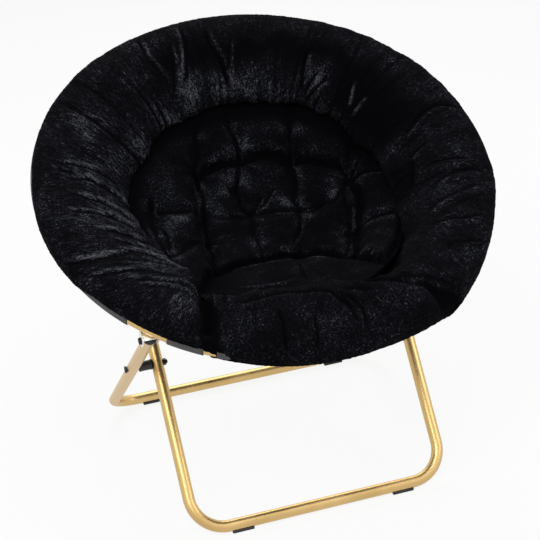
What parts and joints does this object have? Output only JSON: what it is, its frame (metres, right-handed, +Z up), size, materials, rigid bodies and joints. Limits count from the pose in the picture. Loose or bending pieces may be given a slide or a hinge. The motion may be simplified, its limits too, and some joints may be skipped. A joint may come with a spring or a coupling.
{
  "type": "folding saucer chair",
  "caption": "Round padded saucer seat in a folding tube ring, carried on two crossed U-shaped tube leg frames.",
  "frame": {"origin": "on the floor under the middle of the chair's bounding box", "axes": "+Z up, the seat faces -Y, +X is to the right of someone who looks at the chair from the front"},
  "size_m": [0.963, 0.8616, 0.9134],
  "materials": {
    "gold_tube": "satin gold coating on bent steel tube",
    "plated_steel": "pale plated sheet steel",
    "black_steel": "blackened bolt steel, slightly glossy",
    "black_plastic": "moulded black plastic",
    "black_rubber": "dull black rubber",
    "grey_cloth": "dark grey woven cloth",
    "black_fur": "short black pile with a soft grey sheen"
  },
  "bodies": {
    "rear_ring": {"rear_ring_tube": "gold_tube", "rear_fabric_shell": "grey_cloth", "rear_rim_cushion": "black_fur", "rear_seat_cushion": "black_fur", "left_rear_hinge_leaf": "plated_steel", "right_rear_hinge_leaf": "plated_steel", "left_hinge_pin": "plated_steel", "right_hinge_pin": "plated_steel", "left_rear_bracket": "plated_steel", "right_rear_bracket": "plated_steel", "left_rear_pivot_bolt": "black_steel", "right_rear_pivot_bolt": "black_steel", "left_rear_pivot_nut": "black_steel", "right_rear_pivot_nut": "black_steel"},
    "front_ring": {"front_ring_tube": "gold_tube", "front_fabric_shell": "grey_cloth", "front_rim_cushion": "black_fur", "front_seat_cushion": "black_fur", "left_front_hinge_leaf": "plated_steel", "right_front_hinge_leaf": "plated_steel", "left_front_bracket": "plated_steel", "right_front_bracket": "plated_steel", "left_front_pivot_bolt": "black_steel", "right_front_pivot_bolt": "black_steel", "left_front_pivot_nut": "black_steel", "right_front_pivot_nut": "black_steel"},
    "front_legs": {"front_leg_frame": "gold_tube", "left_front_leg_plug": "black_plastic", "right_front_leg_plug": "black_plastic", "left_cross_nut": "black_steel", "right_cross_nut": "black_steel", "left_front_floor_pad": "black_rubber", "right_front_floor_pad": "black_rubber"},
    "rear_legs": {"rear_leg_frame": "gold_tube", "left_rear_leg_plug": "black_plastic", "right_rear_leg_plug": "black_plastic", "left_cross_bolt": "black_steel", "right_cross_bolt": "black_steel", "left_cross_spacer": "black_plastic", "right_cross_spacer": "black_plastic", "left_rear_floor_pad": "black_rubber", "right_rear_floor_pad": "black_rubber"}
  },
  "joints": [
    {"name": "ring_fold", "type": "hinge", "parent": "rear_ring", "child": "front_ring", "pos_m": [0, -0.1288, 0.62447], "axis": [-1, 0, 0], "range_deg": [0, 150], "deforming": ["front_seat_cushion", "rear_seat_cushion", "front_rim_cushion", "rear_rim_cushion", "front_fabric_shell", "rear_fabric_shell"]},
    {"name": "front_leg_pivot", "type": "hinge", "parent": "rear_ring", "child": "front_legs", "pos_m": [0, 0.3477, 0.81177], "axis": [-1, 0, 0], "range_deg": [0, 28.3]},
    {"name": "rear_leg_pivot", "type": "hinge", "parent": "front_ring", "child": "rear_legs", "pos_m": [0, -0.27075, 0.49119], "axis": [-1, 0, 0], "range_deg": [-67.9, 0]}
  ],
  "couplings": [
    {"joint": "front_leg_pivot", "follows": "ring_fold", "ratio": 0.1886},
    {"joint": "rear_leg_pivot", "follows": "ring_fold", "ratio": -0.45221}
  ]
}
